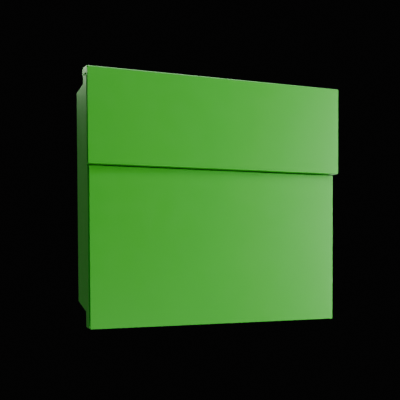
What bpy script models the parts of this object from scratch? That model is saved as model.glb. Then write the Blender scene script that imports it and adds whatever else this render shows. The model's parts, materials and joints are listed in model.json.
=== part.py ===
"""Wall mounted mailbox in folded sheet steel, in metres.

+Z is up and the front faces -Y. The origin is on the wall, behind the middle of the front.
A depth is measured backwards from the flap's front face, and at_depth turns it into y.
"""

import math

import bmesh
import bpy
from mathutils import Matrix, Vector

# Overall sizes
FRONT_HEIGHT = 0.344  # flap and door together
HOUSING_WIDTH = 0.3694  # over the side panels, and the door's width
BOX_DEPTH = 0.104  # flap face to wall
FLAP_HEIGHT = 0.1258
FLAP_OVERHANG = 0.0028  # past the side panel, each side
DOOR_SETBACK = 0.0104  # door face behind the flap face

# Sheets
FLAP_SHEET = 0.002
DOOR_SHEET = 0.0015
SIDE_SHEET = 0.002
SHELL_SHEET = 0.0015
TRAY_SHEET = 0.0012
FOLD = 0.0018  # centre line radius of a fold

# Clearances
SEAT = 0.0003  # between pieces that touch
PLATE_GAP = 0.0015  # flap's lower edge to the door's top
SWING = 0.0011  # past what turns
SHAFT_GAP = 0.0001  # round a pin or shaft, on the radius
CUT_REACH = 0.01  # how far a cutter goes past the sheet it cuts

# Housing outline
RIM_FRONT = 0.022  # depth at which the side panels start
SIDE_RELIEF = 0.003  # side panels start this much further back behind the flap
RIM_BACK_TOP = 0.0495
RIM_BACK_FOOT = 0.0405
BODY_DROP = 0.012  # body's roof below the front's top
BODY_LIFT = 0.021  # body's floor above the front's foot, at the rim
FLOOR_RISE = 0.010  # slope of the floor towards the wall
WALL_HOLE_RADIUS = 0.0035
WALL_HOLE_INSET_X = 0.045
WALL_HOLE_INSET_Z = 0.035
STILE_WIDTH = 0.0062
GUARD_FLANGE = 0.008

# Mail slot and guide
SLOT_MARGIN = 0.0174  # slot's ends inside the side panels
SLOT_HEIGHT = 0.036
SLOT_RISE = 0.0558  # slot's lower edge over the flap's lower edge
SLOT_PANEL_LAP = 0.0085  # slot panel's foot under the flap's lower edge
GUIDE_LENGTH = 0.030
GUIDE_DROP = 0.012
GUIDE_FOOT_HEIGHT = 0.016
GUIDE_RIVET_INSET = 0.025  # outer rivets inside the slot's ends
GUIDE_RIVET_INNER = 0.058  # inner rivets from the middle

# Flap hinge
FLAP_PIN_DEPTH = 0.0345
FLAP_PIN_RISE = 0.0012  # pin centre over the front's top
FLAP_ROLL_RADIUS = 0.004
FLAP_ROLL_TURN = 255
FLAP_PIN_INSET = 0.001  # pin's ends inside the flap's ends
BRACKET_INSET = 0.0647  # bracket's middle inside the housing's side
BRACKET_WIDTH = 0.012
BRACKET_FOOT = 0.007

# Door
DOOR_PIN_GAP = 0.0009  # door's back to the knuckle
DOOR_PIN_RISE = 0.0032  # pin centre over the door's foot
DOOR_PIN_RADIUS = 0.0015
DOOR_PIN_HEAD = 0.0028
DOOR_PIN_HEAD_HEIGHT = 0.0016
KNUCKLE_WALL = 0.0012
ARM_GAP = 0.001  # hinge arm's back to the step of the floor
ARM_HEIGHT = 0.018
ARM_SHEET = 0.0023
TRAY_INSET = 0.0095  # tray's wall inside the side panel's outer face
TRAY_REACH = 0.060  # tray's back behind the door's face
TRAY_GAP = 0.00036  # tray's floor over the housing's floor, at the tray's back
TRAY_LIP = 0.040
TRAY_WALL = 0.085  # tray's height against the door
TRAY_STUD_INSET = 0.035  # from the tray's walls
TRAY_STUD_EDGE = 0.020  # from the upper and lower edge of the tray's front
STUD_RADIUS = 0.0015
STUD_LENGTH = 0.006
STRIKER_HEIGHT = 0.0192  # height of the lip that the lock's cam catches
STRIKER_WIDTH = 0.024
STRIKER_FOOT = 0.024  # striker's plate against the door
STRIKER_DROP = 0.0012  # lip's top under the door's top
STRIKER_STUD_X = 0.0067
STRIKER_STUD_DROP = 0.014

# Lock
LOCK_RISE = 0.0218  # lock centre over the flap's lower edge
LOCK_RADIUS = 0.0093
LOCK_LENGTH = 0.015  # from the slot panel's front to the cam
LOCK_FLANGE = 0.002
LOCK_FLANGE_LAP = 0.0018
LOCK_NUT_WALL = 0.0042
LOCK_NUT_HEIGHT = 0.003
PLUG_RADIUS = 0.0058
CAM_LENGTH = 0.038
CAM_WIDTH = 0.014
CAM_SHEET = 0.002
KEYWAY_WIDTH = 0.0014
KEYWAY_HEIGHT = 0.0072
KEYWAY_DEPTH = 0.009
CAM_SCREW_RADIUS = 0.0046
CAM_SCREW_HEAD = 0.003

# Small pieces
BUFFER_RADIUS = 0.0042
BUFFER_HEIGHT = 0.0024
BUFFER_EDGE = 0.0007
FLAP_BUFFER_INSET = 0.0397  # from the housing's side
DOOR_BUFFER_INSET = 0.0897
RIVET_RADIUS = 0.0016
RIVET_HOLE_REACH = 0.004
RIVET_CROWN = 0.0012
NUT_WALL = 0.0017
NUT_HEIGHT = 0.0024

# Derived places
TOP = FRONT_HEIGHT / 2
FOOT = -FRONT_HEIGHT / 2
HALF_WIDTH = HOUSING_WIDTH / 2
INSIDE = HALF_WIDTH - SIDE_SHEET - SEAT  # half width left between the side panels
SLOT_HALF = INSIDE - SLOT_MARGIN
FLAP_EDGE = TOP - FLAP_HEIGHT
SLOT_FOOT = FLAP_EDGE + SLOT_RISE
DOOR_TOP = FLAP_EDGE - PLATE_GAP
DOOR_BACK = DOOR_SETBACK + DOOR_SHEET
FLOOR_START = RIM_BACK_FOOT + SIDE_SHEET
FLOOR_SLOPE = FLOOR_RISE / (BOX_DEPTH - FLOOR_START)
TRAY_BACK = DOOR_SETBACK + TRAY_REACH
TRAY_FOOT = BODY_LIFT + SHELL_SHEET + FLOOR_SLOPE * (TRAY_BACK - FLOOR_START) + TRAY_GAP
KNUCKLE_RADIUS = DOOR_PIN_RADIUS + KNUCKLE_WALL
DOOR_PIN_DEPTH = DOOR_BACK + DOOR_PIN_GAP + KNUCKLE_RADIUS
FLAP_RETURN = RIM_FRONT - BUFFER_HEIGHT - 2 * SEAT  # depth of the flap's lower return
DOOR_RETURN = FLAP_RETURN - DOOR_SETBACK  # depth of the door's top return, behind its face
FLAP_PIN_RADIUS = FLAP_ROLL_RADIUS - FLAP_SHEET - SEAT
RIVET_HEAD = 2 * RIVET_RADIUS
NUT_RADIUS = STUD_RADIUS + NUT_WALL
LOCK_NUT_RADIUS = LOCK_RADIUS + LOCK_NUT_WALL
FLAP_PIN_Z = TOP + FLAP_PIN_RISE
DOOR_PIN_Z = FOOT + DOOR_PIN_RISE
ROOF_TOP = FLAP_PIN_Z - FLAP_ROLL_RADIUS - 2 * SEAT  # rim's roof, under the flap's roll
LOCK_Z = FLAP_EDGE + LOCK_RISE
PANEL_BACK = RIM_FRONT + SHELL_SHEET
SLOT_PANEL_FOOT = FLAP_EDGE - SLOT_PANEL_LAP
TRAY_X = HALF_WIDTH - TRAY_INSET  # outer face of the tray's walls
CAM_FRONT = RIM_FRONT + LOCK_LENGTH
STRIKER_LIP = CAM_FRONT - 2 * SWING
STRIKER_TOP = DOOR_TOP - STRIKER_DROP
WALL = BOX_DEPTH
SHELL_BACK = WALL - SHELL_SHEET - SEAT  # roof and floor end against the back panel
FLAP_HALF = HALF_WIDTH + FLAP_OVERHANG


def at_depth(depth):
    return depth - BOX_DEPTH


def clear_scene():
    for thing in list(bpy.data.objects):
        bpy.data.objects.remove(thing, do_unlink=True)


def make_material(name, colour, metallic, roughness):
    material = bpy.data.materials.new(name)
    material.use_nodes = True
    shader = material.node_tree.nodes["Principled BSDF"]
    shader.inputs["Base Color"].default_value = (*colour, 1)
    shader.inputs["Metallic"].default_value = metallic
    shader.inputs["Roughness"].default_value = roughness
    material.diffuse_color = (*colour, 1)
    return material


def from_bmesh(name, bm, material):
    bmesh.ops.remove_doubles(bm, verts=bm.verts, dist=1e-6)
    bmesh.ops.recalc_face_normals(bm, faces=bm.faces)
    mesh = bpy.data.meshes.new(name)
    bm.to_mesh(mesh)
    bm.free()
    thing = bpy.data.objects.new(name, mesh)
    bpy.context.scene.collection.objects.link(thing)
    if material:
        mesh.materials.append(material)
    return thing


def extruded(name, outline, x_low, x_high, material):
    """A solid with this (depth, z) outline from x_low to x_high."""
    bm = bmesh.new()
    ring = [bm.verts.new((x_low, at_depth(depth), z)) for depth, z in outline]
    face = bm.faces.new(ring)
    grown = bmesh.ops.extrude_face_region(bm, geom=[face])
    moved = [item for item in grown["geom"] if isinstance(item, bmesh.types.BMVert)]
    bmesh.ops.translate(bm, verts=moved, vec=(x_high - x_low, 0, 0))
    return from_bmesh(name, bm, material)


def upright(name, outline, z_low, z_high, material):
    """A solid with this (x, depth) outline from z_low to z_high."""
    bm = bmesh.new()
    ring = [bm.verts.new((x, at_depth(depth), z_low)) for x, depth in outline]
    face = bm.faces.new(ring)
    grown = bmesh.ops.extrude_face_region(bm, geom=[face])
    moved = [item for item in grown["geom"] if isinstance(item, bmesh.types.BMVert)]
    bmesh.ops.translate(bm, verts=moved, vec=(0, 0, z_high - z_low))
    return from_bmesh(name, bm, material)


def block(name, x, depth, z, material):
    """A box between the two values of each pair."""
    outline = [(depth[0], z[0]), (depth[1], z[0]), (depth[1], z[1]), (depth[0], z[1])]
    return extruded(name, outline, x[0], x[1], material)


def turned(name, profile, at, axis, material, steps=32):
    """A solid of revolution. Its profile of (radius, height) ends on the axis, or goes round a hollow."""
    bm = bmesh.new()
    ring = [bm.verts.new((radius, 0, height)) for radius, height in profile]
    edges = [bm.edges.new(pair) for pair in zip(ring, ring[1:])]
    if min(radius for radius, height in profile) > 0:
        edges.append(bm.edges.new((ring[-1], ring[0])))
    bmesh.ops.spin(
        bm, geom=ring + edges, cent=(0, 0, 0), axis=(0, 0, 1), angle=2 * math.pi, steps=steps,
        use_merge=True,
    )
    thing = from_bmesh(name, bm, material)
    thing.location = (at[0], at_depth(at[1]), at[2])
    thing.rotation_euler = Vector(axis).to_track_quat("Z", "Y").to_euler()
    thing.data.shade_smooth()
    thing.data.set_sharp_from_angle(angle=math.radians(35))
    return thing


def rod_profile(radius, low, high):
    return [(0, low), (radius, low), (radius, high), (0, high)]


def tube_profile(inner, outer, low, high):
    return [(inner, low), (outer, low), (outer, high), (inner, high)]


def make_cutter(thing):
    thing.hide_render = True
    thing.display_type = "WIRE"
    return thing


def combine(thing, others, operation):
    for other in others:
        make_cutter(other)
        modifier = thing.modifiers.new(operation.lower() + "_" + other.name, "BOOLEAN")
        modifier.operation = operation
        modifier.solver = "EXACT"
        modifier.object = other


def cut(thing, *cutters):
    combine(thing, cutters, "DIFFERENCE")


def join(thing, *others):
    combine(thing, others, "UNION")


def round_cutter(name, radius, at, axis, reach=CUT_REACH):
    return turned(name, rod_profile(radius, -reach, reach), at, axis, None)


# Folded sheets: a line of (depth, z) points along the middle of the sheet, given its thickness


def arc_points(centre, radius, start, turn, steps):
    angles = [start + turn * step / steps for step in range(steps + 1)]
    return [(centre[0] + radius * math.cos(a), centre[1] + radius * math.sin(a)) for a in angles]


def folded_line(corners, radius=FOLD, steps=5):
    """The line through these corners with every inner corner rounded."""
    points = [Vector(corners[0])]
    for before, corner, after in zip(corners, corners[1:], corners[2:]):
        corner = Vector(corner)
        back = (Vector(before) - corner).normalized()
        ahead = (Vector(after) - corner).normalized()
        half = back.angle(ahead) / 2
        centre = corner + (back + ahead).normalized() * radius / math.sin(half)
        first = corner + back * radius / math.tan(half) - centre
        last = corner + ahead * radius / math.tan(half) - centre
        turn = first.angle_signed(last)
        for step in range(steps + 1):
            points.append(centre + Matrix.Rotation(-turn * step / steps, 2) @ first)
    points.append(Vector(corners[-1]))
    return [tuple(point) for point in points]


def rolled_end(start, centre, radius, turn_degrees, steps=14):
    """Points that leave the start on a tangent and roll clockwise round the centre."""
    away = Vector(start) - Vector(centre)
    first = math.atan2(away[1], away[0]) - math.acos(radius / away.length)
    return arc_points(centre, radius, first, -math.radians(turn_degrees), steps)


def thickened(line, thickness):
    """The closed outline of a sheet of this thickness along the line."""
    left, right = [], []
    for index, point in enumerate(line):
        here = Vector(point)
        arriving = here - Vector(line[index - 1]) if index else None
        leaving = Vector(line[index + 1]) - here if index + 1 < len(line) else None
        arriving = (arriving or leaving).normalized()
        leaving = (leaving or arriving).normalized()
        along = (arriving + leaving).normalized()
        side = Vector((-along[1], along[0])) * thickness / 2 / along.dot(arriving)
        left.append(tuple(here + side))
        right.append(tuple(here - side))
    return left + right[::-1]


def folded_sheet(name, line, thickness, x_low, x_high, material):
    return extruded(name, thickened(line, thickness), x_low, x_high, material)


# Fasteners


def rivet(name, at, axis, grip, material):
    """A domed rivet. The point is under its head, and the grip runs back along the axis."""
    under = SEAT
    crown = [
        (RIVET_HEAD * math.cos(a), under + RIVET_CROWN * math.sin(a))
        for a in (0, math.radians(30), math.radians(60))
    ]
    tail = -grip - SEAT
    profile = [(0, under + RIVET_CROWN), *crown[::-1], (RIVET_RADIUS, under), (RIVET_RADIUS, tail)]
    profile += [(RIVET_HEAD * 0.8, tail), (RIVET_HEAD * 0.8, tail - RIVET_CROWN), (0, tail - RIVET_CROWN)]
    return turned(name, profile[::-1], at, axis, material, steps=20)


def rivet_hole(name, at, axis):
    return round_cutter(name, RIVET_RADIUS + 2 * SHAFT_GAP, at, axis, reach=RIVET_HOLE_REACH)


def hex_nut(name, at, bore, radius, height, material):
    """A nut on an axis along +Y. The point is on its front face."""
    bm = bmesh.new()
    bmesh.ops.create_cone(
        bm, cap_ends=True, segments=6, radius1=radius, radius2=radius, depth=height,
        matrix=Matrix.Translation((0, 0, height / 2)),
    )
    nut = from_bmesh(name, bm, material)
    nut.location = (at[0], at_depth(at[1]), at[2])
    nut.rotation_euler = Vector((0, 1, 0)).to_track_quat("Z", "Y").to_euler()
    cut(nut, round_cutter(name + "_bore", bore, at, (0, 1, 0), reach=2 * CUT_REACH))
    return nut


# Housing


def side_outline():
    return [
        (RIM_FRONT, FOOT),
        (RIM_BACK_FOOT, FOOT),
        (FLOOR_START, FOOT + BODY_LIFT),
        (WALL, FOOT + BODY_LIFT + FLOOR_RISE),
        (WALL, TOP - BODY_DROP),
        (RIM_BACK_TOP, TOP - BODY_DROP),
        (RIM_BACK_TOP, TOP - SEAT),
        (FLAP_PIN_DEPTH + FLAP_ROLL_RADIUS + SWING, TOP - SEAT),
        (FLAP_PIN_DEPTH + FLAP_ROLL_RADIUS + SWING, ROOF_TOP),
        (RIM_FRONT + SIDE_RELIEF, ROOF_TOP),
        (RIM_FRONT + SIDE_RELIEF, FLAP_EDGE),
        (RIM_FRONT, FLAP_EDGE),
    ]


def make_sides(green):
    outline = side_outline()
    extruded("side_panel_left", outline, -HALF_WIDTH, -HALF_WIDTH + SIDE_SHEET, green)
    extruded("side_panel_right", outline, HALF_WIDTH - SIDE_SHEET, HALF_WIDTH, green)


def make_roof(green):
    """The rim's roof, which steps up behind the flap's roll and down to the body's roof."""
    half = SHELL_SHEET / 2
    riser = RIM_BACK_TOP - half
    line = [
        (RIM_FRONT, ROOF_TOP - half),
        (riser, ROOF_TOP - half),
        (riser, TOP - BODY_DROP - half),
        (SHELL_BACK, TOP - BODY_DROP - half),
    ]
    return folded_sheet("roof_panel", folded_line(line), SHELL_SHEET, -INSIDE, INSIDE, green)


def make_floor(green):
    half = SHELL_SHEET / 2
    end_rise = FLOOR_SLOPE * (SHELL_BACK - FLOOR_START)
    line = [
        (RIM_FRONT, FOOT + half),
        (RIM_BACK_FOOT - half, FOOT + half),
        (FLOOR_START - half, FOOT + BODY_LIFT + half),
        (SHELL_BACK, FOOT + BODY_LIFT + half + end_rise),
    ]
    folded_sheet("floor_panel", folded_line(line), SHELL_SHEET, -INSIDE, INSIDE, green)


def make_back(green):
    """The panel against the wall, with a screw hole near each corner."""
    foot = FOOT + BODY_LIFT + FLOOR_RISE
    top = TOP - BODY_DROP
    back_panel = block("back_panel", (-INSIDE, INSIDE), (WALL - SHELL_SHEET, WALL), (foot, top), green)
    for side, sign in (("left", -1), ("right", 1)):
        for level, z in (("low", foot + WALL_HOLE_INSET_Z), ("high", top - WALL_HOLE_INSET_Z)):
            at = (sign * (INSIDE - WALL_HOLE_INSET_X), WALL, z)
            cut(back_panel, round_cutter(f"wall_hole_{side}_{level}", WALL_HOLE_RADIUS, at, (0, 1, 0)))


def angle_strip(name, sign, flange_x, web_x, flange_depth, web_front, z, material):
    """An upright angle: a flange across the front of the housing and a web that reaches forwards."""
    corners = [(sign * flange_x, flange_depth), (sign * web_x, flange_depth), (sign * web_x, web_front)]
    return upright(name, thickened(folded_line(corners), SHELL_SHEET), z[0], z[1], material)


def make_front_angles(green):
    """The angles that close the gap behind the door's edges, and the guards beside the mail slot."""
    half = SHELL_SHEET / 2
    web_x = INSIDE - STILE_WIDTH + half
    stile_front = DOOR_BACK + SWING
    stile_z = (FOOT + ARM_HEIGHT + 2 * SHELL_SHEET, SLOT_PANEL_FOOT - SEAT)
    guard_front = FLAP_SHEET + SWING
    swept = FLAP_PIN_Z - FLAP_EDGE - FLAP_SHEET - SWING
    guard_foot = FLAP_PIN_Z - math.sqrt(swept**2 - (FLAP_PIN_DEPTH - guard_front) ** 2)
    guard_z = (guard_foot, ROOF_TOP - SHELL_SHEET - SEAT)
    for side, sign in (("left", -1), ("right", 1)):
        stile = (sign, INSIDE, web_x, RIM_FRONT + half, stile_front, stile_z, green)
        angle_strip(f"frame_stile_{side}", *stile)
        guard = (sign, web_x - GUARD_FLANGE, web_x, RIM_FRONT - SEAT - half, guard_front, guard_z, green)
        angle_strip(f"side_guard_{side}", *guard)


def guide_rivet_places():
    z = SLOT_FOOT - GUIDE_FOOT_HEIGHT / 2 - FOLD
    outer = SLOT_HALF - GUIDE_RIVET_INSET
    return [(x, RIM_FRONT, z) for x in (-outer, -GUIDE_RIVET_INNER, GUIDE_RIVET_INNER, outer)]


def make_slot_panel(green):
    depth = (RIM_FRONT, PANEL_BACK)
    top = ROOF_TOP - SHELL_SHEET - SEAT
    slot_panel = block("slot_panel", (-INSIDE, INSIDE), depth, (SLOT_PANEL_FOOT, top), green)
    through = (RIM_FRONT - CUT_REACH, PANEL_BACK + CUT_REACH)
    slot = (SLOT_FOOT, SLOT_FOOT + SLOT_HEIGHT)
    cut(slot_panel, block("slot_cut", (-SLOT_HALF, SLOT_HALF), through, slot, None))
    gate = STRIKER_WIDTH / 2 + 2 * SWING
    notch = (SLOT_PANEL_FOOT - CUT_REACH, STRIKER_TOP + 3 * SWING)
    cut(slot_panel, block("striker_notch", (-gate, gate), through, notch, None))
    lock_at = (0, RIM_FRONT, LOCK_Z)
    cut(slot_panel, round_cutter("lock_hole", LOCK_RADIUS + SEAT, lock_at, (0, 1, 0)))
    for number, at in enumerate(guide_rivet_places(), start=1):
        cut(slot_panel, rivet_hole(f"panel_rivet_hole_{number}", at, (0, 1, 0)))


def make_letter_guide(green, zinc):
    """A folded lip behind the slot that slopes down into the box, and its rivets."""
    middle = PANEL_BACK + SEAT + TRAY_SHEET / 2
    fold_z = SLOT_FOOT - TRAY_SHEET
    line = [
        (middle, fold_z - GUIDE_FOOT_HEIGHT),
        (middle, fold_z),
        (middle + GUIDE_LENGTH, fold_z - GUIDE_DROP),
    ]
    guide = folded_sheet("letter_guide", folded_line(line), TRAY_SHEET, -SLOT_HALF, SLOT_HALF, green)
    grip = SHELL_SHEET + SEAT + TRAY_SHEET
    for number, at in enumerate(guide_rivet_places(), start=1):
        cut(guide, rivet_hole(f"guide_rivet_hole_{number}", at, (0, 1, 0)))
        rivet(f"guide_rivet_{number}", at, (0, -1, 0), grip, zinc)


def make_buffers(rubber):
    profile = [
        (0, BUFFER_HEIGHT),
        (BUFFER_RADIUS - 2 * BUFFER_EDGE, BUFFER_HEIGHT),
        (BUFFER_RADIUS - BUFFER_EDGE, BUFFER_HEIGHT - BUFFER_EDGE),
        (BUFFER_RADIUS, BUFFER_HEIGHT / 6),
        (BUFFER_RADIUS, 0),
        (0, 0),
    ]
    places = [
        ("flap_buffer", HALF_WIDTH - FLAP_BUFFER_INSET, FLAP_EDGE + FLAP_SHEET / 2),
        ("door_buffer", HALF_WIDTH - DOOR_BUFFER_INSET, DOOR_TOP - DOOR_SHEET / 2),
    ]
    for name, x, z in places:
        for side, sign in (("left", -1), ("right", 1)):
            at = (sign * x, RIM_FRONT - SEAT, z)
            turned(f"{name}_{side}", profile, at, (0, -1, 0), rubber, steps=24)


def make_flap_hinge(roof_panel, green, steel):
    centre = (FLAP_PIN_DEPTH, FLAP_PIN_Z)
    loop_radius = FLAP_PIN_RADIUS + SHAFT_GAP + SHELL_SHEET / 2
    foot_z = ROOF_TOP + SEAT + SHELL_SHEET / 2
    heel = RIM_BACK_TOP - SHELL_SHEET
    foot = (heel - BRACKET_FOOT, foot_z)
    line = [(heel, foot_z), foot, *rolled_end(foot, centre, loop_radius, 300, steps=20)]
    rivet_depth = heel - BRACKET_FOOT / 2
    grip = SHELL_SHEET + SEAT + SHELL_SHEET
    for side, sign in (("left", -1), ("right", 1)):
        middle = sign * (HALF_WIDTH - BRACKET_INSET)
        low, high = middle - BRACKET_WIDTH / 2, middle + BRACKET_WIDTH / 2
        bracket = folded_sheet(f"flap_hinge_bracket_{side}", line, SHELL_SHEET, low, high, green)
        at = (middle, rivet_depth, foot_z + SHELL_SHEET / 2)
        cut(bracket, rivet_hole(f"bracket_rivet_hole_{side}", at, (0, 0, 1)))
        cut(roof_panel, rivet_hole(f"roof_rivet_hole_{side}", at, (0, 0, 1)))
        rivet(f"bracket_rivet_{side}", at, (0, 0, 1), grip, steel)
    reach = FLAP_HALF - FLAP_PIN_INSET
    at = (0, FLAP_PIN_DEPTH, FLAP_PIN_Z)
    turned("flap_hinge_pin", rod_profile(FLAP_PIN_RADIUS, -reach, reach), at, (1, 0, 0), steel, steps=24)


def arm_outline():
    """The door's hinge arm: a round knuckle in front of a plate that is fixed inside the side panel."""
    centre = (DOOR_PIN_DEPTH, DOOR_PIN_Z)
    knuckle = arc_points(centre, KNUCKLE_RADIUS, math.radians(80), math.radians(190), 10)
    back = RIM_BACK_FOOT - SHELL_SHEET - ARM_GAP
    low = FOOT + SHELL_SHEET + 2 * SEAT
    high = FOOT + ARM_HEIGHT
    return [(back, high), (RIM_FRONT + SIDE_SHEET, high), *knuckle, (RIM_FRONT - SWING, low), (back, low)]


def make_door_hinge(steel, nylon, green):
    for side, sign in (("left", -1), ("right", 1)):
        outer, inner = INSIDE, INSIDE - ARM_SHEET
        x = sorted((sign * outer, sign * inner))
        arm = extruded(f"door_hinge_arm_{side}", arm_outline(), x[0], x[1], green)
        at = (sign * inner, DOOR_PIN_DEPTH, DOOR_PIN_Z)
        cut(arm, round_cutter(f"arm_hole_{side}", DOOR_PIN_RADIUS + SHAFT_GAP, at, (1, 0, 0)))
        spacer_length = inner - SEAT - (TRAY_X + SEAT)
        start = (sign * (TRAY_X + SEAT), DOOR_PIN_DEPTH, DOOR_PIN_Z)
        bore = DOOR_PIN_RADIUS + SHAFT_GAP
        ring = tube_profile(bore, KNUCKLE_RADIUS, 0, spacer_length)
        turned(f"door_hinge_spacer_{side}", ring, start, (sign, 0, 0), nylon, steps=24)
        head_height = DOOR_PIN_HEAD_HEIGHT
        wall_inner = TRAY_X - TRAY_SHEET - SEAT
        at = (sign * wall_inner, DOOR_PIN_DEPTH, DOOR_PIN_Z)
        length = outer - SEAT - wall_inner
        profile = [(0, -head_height), (0.8 * DOOR_PIN_HEAD, -head_height), (DOOR_PIN_HEAD, -head_height / 2)]
        profile += [(DOOR_PIN_HEAD, 0), (DOOR_PIN_RADIUS, 0), (DOOR_PIN_RADIUS, length), (0, length)]
        turned(f"door_hinge_pin_{side}", profile, at, (sign, 0, 0), steel, steps=24)


# Flap


def make_flap(green):
    half = FLAP_SHEET / 2
    centre = (FLAP_PIN_DEPTH, FLAP_PIN_Z)
    face = [(FLAP_RETURN, FLAP_EDGE + half), (half, FLAP_EDGE + half), (half, TOP - half)]
    roll = rolled_end(face[-1], centre, FLAP_ROLL_RADIUS - half, FLAP_ROLL_TURN)
    line = folded_line([*face, roll[0]])[:-1] + roll
    flap = folded_sheet("flap", line, FLAP_SHEET, -FLAP_HALF, FLAP_HALF, green)
    room = BRACKET_WIDTH / 2 + 2 * SEAT
    depth = (FLAP_PIN_DEPTH - FLAP_ROLL_RADIUS - SEAT, FLAP_PIN_DEPTH + 2 * FLAP_ROLL_RADIUS)
    z = (TOP - 2 * FLAP_ROLL_RADIUS, TOP + 3 * FLAP_ROLL_RADIUS)
    for side, sign in (("left", -1), ("right", 1)):
        middle = sign * (HALF_WIDTH - BRACKET_INSET)
        x = (middle - room, middle + room)
        cut(flap, block(f"hinge_gap_{side}", x, depth, z, None))
    return [flap]


# Door


def tray_stud_places():
    low = FOOT + TRAY_FOOT + TRAY_STUD_EDGE
    high = FOOT + TRAY_FOOT + TRAY_WALL - TRAY_STUD_EDGE
    x = TRAY_X - TRAY_STUD_INSET
    return [(sign * x, DOOR_BACK, z) for z in (low, high) for sign in (-1, 1)]


def striker_stud_places():
    z = STRIKER_TOP - STRIKER_HEIGHT - STRIKER_STUD_DROP
    return [(sign * STRIKER_STUD_X, DOOR_BACK, z) for sign in (-1, 1)]


def tray_ear_outline():
    centre = (DOOR_PIN_DEPTH, DOOR_PIN_Z)
    knuckle = arc_points(centre, KNUCKLE_RADIUS, math.radians(180), math.radians(170), 10)
    front = DOOR_PIN_DEPTH - KNUCKLE_RADIUS
    top = FOOT + TRAY_FOOT + TRAY_WALL
    floor = FOOT + TRAY_FOOT
    lip = floor + TRAY_LIP
    heel = DOOR_PIN_DEPTH + 2 * KNUCKLE_RADIUS
    return [*knuckle, (heel, floor), (TRAY_BACK, floor), (TRAY_BACK, lip), (front, top)]


def make_door_panel(green):
    half = DOOR_SHEET / 2
    face = DOOR_SETBACK + half
    line = [(DOOR_SETBACK + DOOR_RETURN, DOOR_TOP - half), (face, DOOR_TOP - half), (face, FOOT)]
    return folded_sheet("door_panel", folded_line(line), DOOR_SHEET, -HALF_WIDTH, HALF_WIDTH, green)


def make_tray(green):
    """A tray behind the door that holds the letters when it opens. Its walls carry the hinge pins."""
    half = TRAY_SHEET / 2
    front = DOOR_BACK + SEAT + half
    floor = FOOT + TRAY_FOOT
    back = TRAY_BACK - half
    inner = TRAY_X - half
    line = [(front, floor + TRAY_WALL), (front, floor + half), (back, floor + half), (back, floor + TRAY_LIP)]
    tray = folded_sheet("door_tray", folded_line(line), TRAY_SHEET, -inner, inner, green)
    for side, sign in (("left", -1), ("right", 1)):
        x = sorted((sign * TRAY_X, sign * (TRAY_X - TRAY_SHEET)))
        join(tray, extruded(f"tray_wall_{side}", tray_ear_outline(), x[0], x[1], None))
        at = (sign * TRAY_X, DOOR_PIN_DEPTH, DOOR_PIN_Z)
        cut(tray, round_cutter(f"ear_hole_{side}", DOOR_PIN_RADIUS + SHAFT_GAP, at, (1, 0, 0)))
    return tray


def make_striker(zinc):
    """The bracket behind the door's top whose lip the lock's cam catches."""
    half = SHELL_SHEET / 2
    step_z = STRIKER_TOP - STRIKER_HEIGHT + half
    plate = DOOR_BACK + SEAT + half
    lip = STRIKER_LIP - half
    line = [(plate, step_z - STRIKER_FOOT), (plate, step_z), (lip, step_z), (lip, STRIKER_TOP)]
    reach = STRIKER_WIDTH / 2
    return folded_sheet("door_striker", folded_line(line), SHELL_SHEET, -reach, reach, zinc)


def bolt_on(panel, plate, sheet, label, places, zinc):
    """Studs on the door that go through the plate behind it, each with its nut."""
    bore = STUD_RADIUS + SHAFT_GAP
    root = -0.6 * DOOR_SHEET
    nuts = []
    for number, at in enumerate(places, start=1):
        name = f"{label}_stud_{number}"
        stud = turned(name, rod_profile(STUD_RADIUS, root, STUD_LENGTH), at, (0, 1, 0), None, steps=20)
        join(panel, stud)
        cut(plate, round_cutter(f"{name}_hole", bore + SHAFT_GAP, at, (0, 1, 0)))
        seat = (at[0], DOOR_BACK + SEAT + sheet + SEAT, at[2])
        nuts.append(hex_nut(f"{label}_nut_{number}", seat, bore, NUT_RADIUS, NUT_HEIGHT, zinc))
    return nuts


def make_door(green, zinc):
    panel = make_door_panel(green)
    tray = make_tray(green)
    striker = make_striker(zinc)
    tray_nuts = bolt_on(panel, tray, TRAY_SHEET, "tray", tray_stud_places(), zinc)
    striker_nuts = bolt_on(panel, striker, SHELL_SHEET, "striker", striker_stud_places(), zinc)
    return [panel, tray, striker, *tray_nuts, *striker_nuts]


# Lock


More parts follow.
